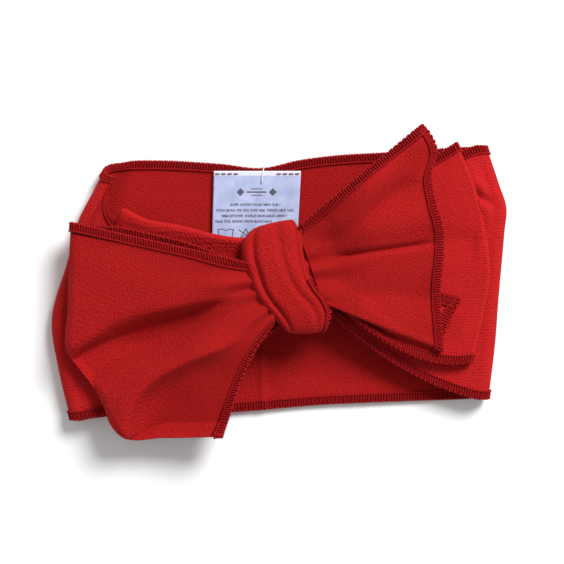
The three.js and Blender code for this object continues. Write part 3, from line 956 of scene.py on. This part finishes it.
# Right tail: from the knot to its cut end, with its reverse up. Its lower side turns under round a half
# circle, so on each line across it the cloth runs flat to the bend, round it, and back beneath. On top
# stand a ridge along one path and a step up past a narrow groove along another.
def tailGrid(columns=170, rows=190):
    u, v = evenGrid(columns, rows)
    w = np.minimum(v / tail["flat"], 1)
    root = lambda w: atKnot(11.5, lerp(*tail["roots"], w))
    plan = lerp(root(w), through(tail["end"], w), u[..., None])
    fold = lerp(root(1 + 0 * v), through(tail["end"], 1 + 0 * v), u[..., None])
    upperSide = lerp(root(0 * v), through(tail["end"], 0 * v), u[..., None])
    inward = upperSide - fold
    inward /= np.linalg.norm(inward, axis=-1)[..., None]
    radius = lerp(0.7, 1.7, step(u, 0.1, 0.6))
    angle = np.clip((v - tail["flat"]) / tail["bend"], 0, 1) * math.pi
    beyond = np.clip((v - tail["flat"] - tail["bend"]) / (1 - tail["flat"] - tail["bend"]), 0, 1)
    back = beyond * tail["under"] * lerp(0.35, 1.0, step(u, 0, 0.8))
    plan = plan + inward * (back - radius * np.sin(angle))[..., None]
    x, y = plan[..., 0], plan[..., 1]
    x = x + beyond**1.5 * 12.0 * step(u, 0.55, 1)
    middle = resting(28.9, x, 12.6) + 3.4 * step(u, 0.1, 0.5)
    middle = middle - 10.0 * (1 - step(y, -26, 20)) * step(u, 0.1, 0.5)
    z = middle + radius * np.cos(angle)
    shaped = 4.4 * bell(fromPath(x, y, tail["ridge"])[0], 7.0) * step(u, 0.1, 0.6)
    crease, along = fromPath(x, y, tail["crease"])
    shaped += step(along, 0, 0.3) * np.where(crease < 0, 4.8 * (1 - bell(crease, 9.0)), 0)
    shaped -= 3.0 * step(along, 0, 0.15) * (1 - step(along, 0.7, 1)) * bell(crease, 1.6)
    shaped += valley(x, y, tail["dip"], 2.4, 5.0, 5.0, (0.3, 0.8))
    shaped += pleats(u, v, 1.0, 4.5, 0.15, 0.42)
    shaped += unevenness(x, y, 0.35, 26, 41)
    onTop = v <= tail["flat"]
    z = z + np.where(onTop, shaped, 0) * np.where(onTop, 1 - step(v, tail["flat"] - 0.08, tail["flat"]), 0)
    z += 1.6 * step(u, 0.75, 1) * bell(v * 90, 14)
    return np.stack([x, y, z], -1), np.minimum(z, middle - radius)


tailPoints, tailUnderside = tailGrid()
tailPoints = laidOn(tailPoints, [rightPoints], 1.2, tailUnderside)
tailLift = bendBetween("right_loop", "right_tail", (*atKnot(17.0, 0), 29.3), (*atKnot(30.0, 0), 29.3))
tailCloth = stripPiece("right-tail-cloth", tailPoints, (faceCloth, reverseCloth))
tailRuns = ["right_tail", "right_tail_turn_under"]
finishPiece(tailCloth, "right_tail", [*tailRuns, "right_tail_gather"], tailLift)
tailTurned = np.swapaxes(tailPoints, 0, 1)[::-1]
for name, points, side, span, seed, seams in (
    ("upper", tailPoints, "upper", (0.03, 0.995), 14, [f"{tailRuns[0]}_upper_seam"]),
    ("lower", tailPoints, "lower", (0.3, 0.995), 18, [f"{tailRuns[1]}_upper_seam"]),
    ("end", tailTurned, "lower", (0.01, 0.995), 15, [f"{run}_end_seam" for run in tailRuns]),
):
    edge = overlock(f"right-tail-{name}-overlock", points, side, band["thickness"], edgeThread, span, seed)
    finishPiece(edge, "right_tail", seams, tailLift)
print("right tail made")

leftTailCut = cutPlaces(leftTailPoints, leftTail["width"])
leftTailCloth = clothPiece(
    "left-tail-cloth", leftTailPoints, leftTailCut, leftTail["thickness"], (reverseCloth, faceCloth)
)
finishPiece(leftTailCloth, "front", ["left_tail"])
leftTailTurned = np.swapaxes(leftTailPoints, 0, 1)[::-1]
leftTailEnd = overlock(
    "left-tail-end-overlock", leftTailTurned, "lower", leftTail["thickness"], edgeThread, (0.01, 0.99), 16
)
finishPiece(leftTailEnd, "front", ["left_tail_end_seam"])
print("left tail made")


knot = {
    "left": [
        (-13, 25.5), (-18, 20), (-18.5, 13), (-16, 3), (-12.5, -6), (-8.0, -12), (-2.5, -17.5), (3, -23),
    ],
    "right": [
        (6.5, 30), (9.6, 24.5), (11, 14), (12, 8.5), (14, 2), (17.5, -4), (21.5, -9), (24, -15), (22, -22),
    ],
    "height": 9.2,
    "centre": 25.0,
    "wrapWidth": 34.0,
    "wrapThickness": 1.2,
    "coreWidth": 29.0,
    "coreThickness": 1.0,
    "coreReach": (12.5, 23.5),  # half the core's size across the knot and along it
    "coreHeight": 4.3,
}


# The wrap: a band carried round the strands. Round the knot its height follows a flattened circle. Across
# it the band runs from its left to its right outline, its edges roll down as the fourth power of the way
# out, and three grooves are bells across it.
def wrapGrid(columns=220, rows=70):
    turn, share = np.meshgrid(np.arange(columns) / columns, np.linspace(0, 1, rows), indexing="ij")
    angle = 2 * math.pi * turn
    place = 0.5 - 0.5 * np.cos(angle)
    left = through(knot["left"], place)
    right = through(knot["right"], place)
    aside = 2 * share - 1
    roll = np.abs(aside) ** 4
    plan = lerp(left, right, (0.5 + 0.5 * np.sin(aside * math.pi / 2))[..., None])
    swell = (1 - aside * aside) * (2.4 * step(place, 0.75, 1) - 1.2 * (1 - step(place, 0, 0.25)))
    plan = plan - swell[..., None] * alongDir
    lift = np.sign(np.sin(angle)) * np.abs(np.sin(angle)) ** 0.72
    z = knot["centre"] + lift * (knot["height"] - 3.4 * roll)
    upper = np.clip(lift, 0, 1)
    grooves = -3.0 * bell(aside + 0.5 - 0.1 * np.sin(angle), 0.09)
    grooves = grooves - 1.1 * bell(aside - 0.25 + 0.12 * np.cos(angle), 0.10) - 0.9 * bell(aside - 0.66, 0.09)
    z = z + upper * (grooves - 3.6 * step(-aside, 0.4, 1.0))
    z = z + upper * 0.4 * unevenness(plan[..., 0], plan[..., 1], 1.0, 16, 61)
    return np.stack([plan[..., 0], plan[..., 1], z], -1)


wrapPoints = wrapGrid()
wrapCut = cutPlaces(wrapPoints, knot["wrapWidth"])
wrapThick = knot["wrapThickness"]
wrapFinishes = (faceCloth, reverseCloth)
wrapCloth = clothPiece("knot-wrap-cloth", wrapPoints[::-1], wrapCut, wrapThick, wrapFinishes, True)
finishPiece(wrapCloth, "front", ["knot_wrap"])
# the wrap's own sewn edge shows low on its right, where the strip turns in under the knot
wrapEdge = overlock("knot-wrap-overlock", wrapPoints, "lower", wrapThick, edgeThread, (0.26, 0.52), 17)
finishPiece(wrapEdge, "front", ())


# The strands inside: a flat round bundle carried across the knot, an ellipse whose reach and height are
# waved by sines round it as its pleats, and which narrows at its ends as a sixth power.
def coreGrid(columns=60, rows=160):
    across, turn = np.meshgrid(np.linspace(0, 1, columns), np.arange(rows) / rows, indexing="ij")
    half, long = knot["coreReach"]
    angle = 2 * math.pi * turn
    ends = 1 - 0.25 * np.abs(2 * across - 1) ** 6
    reach = long * ends * (1 + 0.03 * np.sin(9 * angle))
    height = knot["coreHeight"] * ends * (1 + 0.09 * np.sin(14 * angle + 3 * across))
    plan = atKnot(lerp(-half, half, across), reach * np.cos(angle))
    return np.stack([plan[..., 0], plan[..., 1], knot["centre"] + height * np.sin(angle)], -1)


corePoints = np.swapaxes(coreGrid(), 0, 1)
coreCut = cutPlaces(corePoints, knot["coreWidth"])
coreCloth = clothPiece("knot-core-cloth", corePoints, coreCut, knot["coreThickness"], wrapFinishes, True)
finishPiece(coreCloth, "front", ["knot_core"])
print("knot made")


label = {
    "width": 44.0,
    "drop": 47.0,
    "header": 2.6,
    "left": -33.5,
    "seam": 53.7,
    "thickness": 0.22,
    "stitch": 2.6,  # length of one stitch, and from the start of one to the next
    "stitchPitch": 3.1,
    "unstitched": 9.5,  # mm to each side of its middle where no stitch shows
}


# How high the back's cloth stands at y, which backRise takes as a share of the way across it.
def backUnder(y):
    return backRise(np.clip((59.0 - y) / 124, 0, 1))


# The label hangs from its seam: its height over the cloth swells as a half sine down it, with a slow sine
# across, and its lower corners flare a little.
def labelPoint(x, y):
    down = np.clip(-y / label["drop"], 0, 1)
    px = label["left"] + x - (x / label["width"] - 0.5) * down - 2.0 * down
    py = label["seam"] + y
    z = backUnder(py) + lerp(3.2, 2.4, step(down, 0, 0.3)) + np.sin(down * math.pi)
    z = z + 0.5 * np.sin(x / label["width"] * math.pi * 1.5 + 0.4) * down
    return np.stack([px, py, z], -1)


def labelGrid(columns=60, rows=70):
    y = np.linspace(label["header"], -label["drop"], rows)
    x, y = np.meshgrid(np.linspace(0, label["width"], columns), y, indexing="ij")
    return labelPoint(x, y), np.stack([x, -y + label["header"]], -1)


labelPoints, labelCut = labelGrid()
labelBend = bendBetween("back", "label", (0, label["seam"] + 0.2, 0), (0, label["seam"] - 3.5, 0))
labelCloth = clothPiece("care-label", labelPoints, labelCut, label["thickness"], (labelSatin, labelSatin))
finishPiece(labelCloth, "label", ["care_label", "label_header"], labelBend)


# Marks on the label lie a hair over it. A mark is a flat bar from one point of the label to another, of a
# width.
def labelMarks(name, bars, material):
    corners = []
    for x0, y0, x1, y1, width in bars:
        start, end = np.array([x0, y0]), np.array([x1, y1])
        ahead = (end - start) / np.linalg.norm(end - start)
        side = np.array([-ahead[1], ahead[0]]) * width / 2
        corners += [start - side, end - side, end + side, start + side]
    flat = np.array(corners)
    points = labelPoint(flat[:, 0], flat[:, 1])
    lifted = points + [0, 0, label["thickness"] / 2 + 0.07]
    sunk = points + [0, 0, label["thickness"] / 2 + 0.01]
    n = len(flat)
    top = np.arange(n).reshape(-1, 4)
    sides = [(top[:, k], top[:, (k + 1) % 4]) for k in range(4)]
    walls = np.concatenate([np.stack([a, a + n, b + n, b], -1) for a, b in sides])
    quads = np.concatenate([top, top[:, ::-1] + n, walls])
    smooth = np.zeros(len(quads), bool)
    piece = makeMesh(name, (np.concatenate([lifted, sunk]) + bandOrigin) * mm, quads, None, None, smooth)
    piece.data.materials.append(material)
    return piece


# Lines of unreadable print: on each line, words of random length stand between small gaps, each cut into
# strokes.
def printLines():
    rng = np.random.default_rng(7)
    bars = []
    for y, left, right in ((-14.3, 9.0, 34.5), (-17.2, 2.0, 41.0), (-20.0, 5.0, 38.0), (-22.8, 1.5, 31.0)):
        x = left
        while x < right:
            word = rng.uniform(2.4, 5.5)
            for stroke in np.arange(x, min(x + word, right), 0.62):
                tall = rng.uniform(0.75, 1.0) * 1.45
                bars.append((stroke, y - tall / 2, stroke + rng.uniform(-0.12, 0.12), y + tall / 2, 0.30))
                if rng.uniform() < 0.6:
                    begin, end = y + rng.choice([-0.55, 0, 0.55]), y + rng.choice([-0.5, 0.5])
                    bars.append((stroke, begin, stroke + 0.5, end, 0.24))
            x += word + 0.9
    return bars


# Care marks: a wash tub, a crossed triangle and a bar, each of plain lines. Above the print stands a plain
# rule between two lozenges.
def careMarks():
    bars = [
        (3.0, -26.5, 4.0, -32.5, 0.5), (4.0, -32.5, 10.0, -32.5, 0.5), (10.0, -32.5, 11.0, -26.5, 0.5),
        (3.0, -27.2, 5.0, -26.6, 0.4), (5.0, -26.6, 7.0, -27.4, 0.4),
        (7.0, -27.4, 9.0, -26.6, 0.4), (9.0, -26.6, 11.0, -27.2, 0.4),
        (14.0, -32.5, 20.5, -32.5, 0.5), (14.0, -32.5, 17.2, -26.5, 0.5), (20.5, -32.5, 17.2, -26.5, 0.5),
        (13.6, -32.0, 20.9, -27.0, 0.4), (13.6, -27.0, 20.9, -32.0, 0.4),
        (23.5, -28.0, 25.8, -28.0, 0.6),
        (17.0, -8.0, 27.0, -8.0, 0.7), (19.0, -9.6, 25.0, -9.6, 0.4), (19.0, -6.4, 25.0, -6.4, 0.4),
    ]
    for centre in (13.8, 30.2):
        bars.append((centre - 1.0, -9.0, centre + 1.0, -7.0, 2.83))
    return bars


labelPrint = labelMarks("label-print", printLines() + careMarks(), labelInk)
finishPiece(labelPrint, "label", (), labelBend)


# Label stitching: near the label's two ends, each stitch is a low hump of thread between two needle holes.
# Its height is a power of a half sine.
def labelStitching():
    x = np.arange(0.6, label["width"] - label["stitch"], label["stitchPitch"])
    x = x[np.abs(x - label["width"] / 2 + label["stitch"] / 2) > label["unstitched"]]
    paths, references = [], []
    for start in x:
        t = np.linspace(0, 1, 9)
        along = labelPoint(start + label["stitch"] * t, 0 * t + 1.1)
        along[:, 2] += label["thickness"] / 2 - 0.12 + 0.55 * np.sin(t * math.pi) ** 0.6
        paths.append(along)
        references.append(np.tile([0.0, 1.0, 0.0], (9, 1)))
    return threadPiece("label-stitching", paths, references, 0.27, seamThread)


labelSewing = labelStitching()
finishPiece(labelSewing, "back", ["label_stitching"])

# The tag fastener's filament: out of the label beside the seam and over the band's edge, as a smooth curve
# through a few points whose heights are over the cloth.
filament = {
    "points": [
        (-9.2, 49.0, 2.6), (-9.2, 50.4, 3.9), (-8.9, 54, 3.7),
        (-8.3, 57.5, 2.5), (-7.8, 59.9, -0.2), (-7.6, 60.4, -2.0),
    ],
    "radius": 0.3,
}
filamentLine = through(filament["points"], np.linspace(0, 1, 40))
filamentLine[:, 2] += backUnder(filamentLine[:, 1])
sideways = np.tile([1.0, 0.0, 0.0], (len(filamentLine), 1))
tagFilament = threadPiece("tag-filament", [filamentLine], [sideways], filament["radius"], nylon)
finishPiece(tagFilament, "back", ["tag_filament"])
print("label made")


studio = {
    "floor": 0.92,  # how light the floor is
    "world": 0.46,  # strength of the light all round
    "key": 90.0,  # watts
    "fill": 1.0,
}


def addFloor():
    bpy.ops.mesh.primitive_plane_add(size=6, location=(0, 0, -0.0004))
    floor = bpy.context.object
    floor.name = "floor"
    material, tree, shader = startFinish("floor")
    shader.inputs["Base Color"].default_value = (studio["floor"],) * 3 + (1,)
    shader.inputs["Roughness"].default_value = 0.9
    shader.inputs["Specular IOR Level"].default_value = 0.1
    floor.data.materials.append(material)


def addLight(name, place, size, energy):
    data = bpy.data.lights.new(name, "AREA")
    data.shape = "DISK"
    data.size = size
    data.energy = energy
    lamp = bpy.data.objects.new(name, data)
    lamp.location = place
    lamp.rotation_mode = "QUATERNION"
    lamp.rotation_quaternion = Vector(-np.array(place)).to_track_quat("-Z", "Y")
    bpy.context.scene.collection.objects.link(lamp)


addFloor()
addLight("key", (1.2, 1.5, 1.9), 1.2, studio["key"])
addLight("fill", (-1.8, -0.4, 2.2), 1.8, studio["fill"])
world = bpy.data.worlds.new("studio")
world.use_nodes = True
world.node_tree.nodes["Background"].inputs[0].default_value = (1, 1, 1, 1)
world.node_tree.nodes["Background"].inputs[1].default_value = studio["world"]
bpy.context.scene.world = world
bpy.context.scene.view_settings.view_transform = "Standard"
print("stage set")
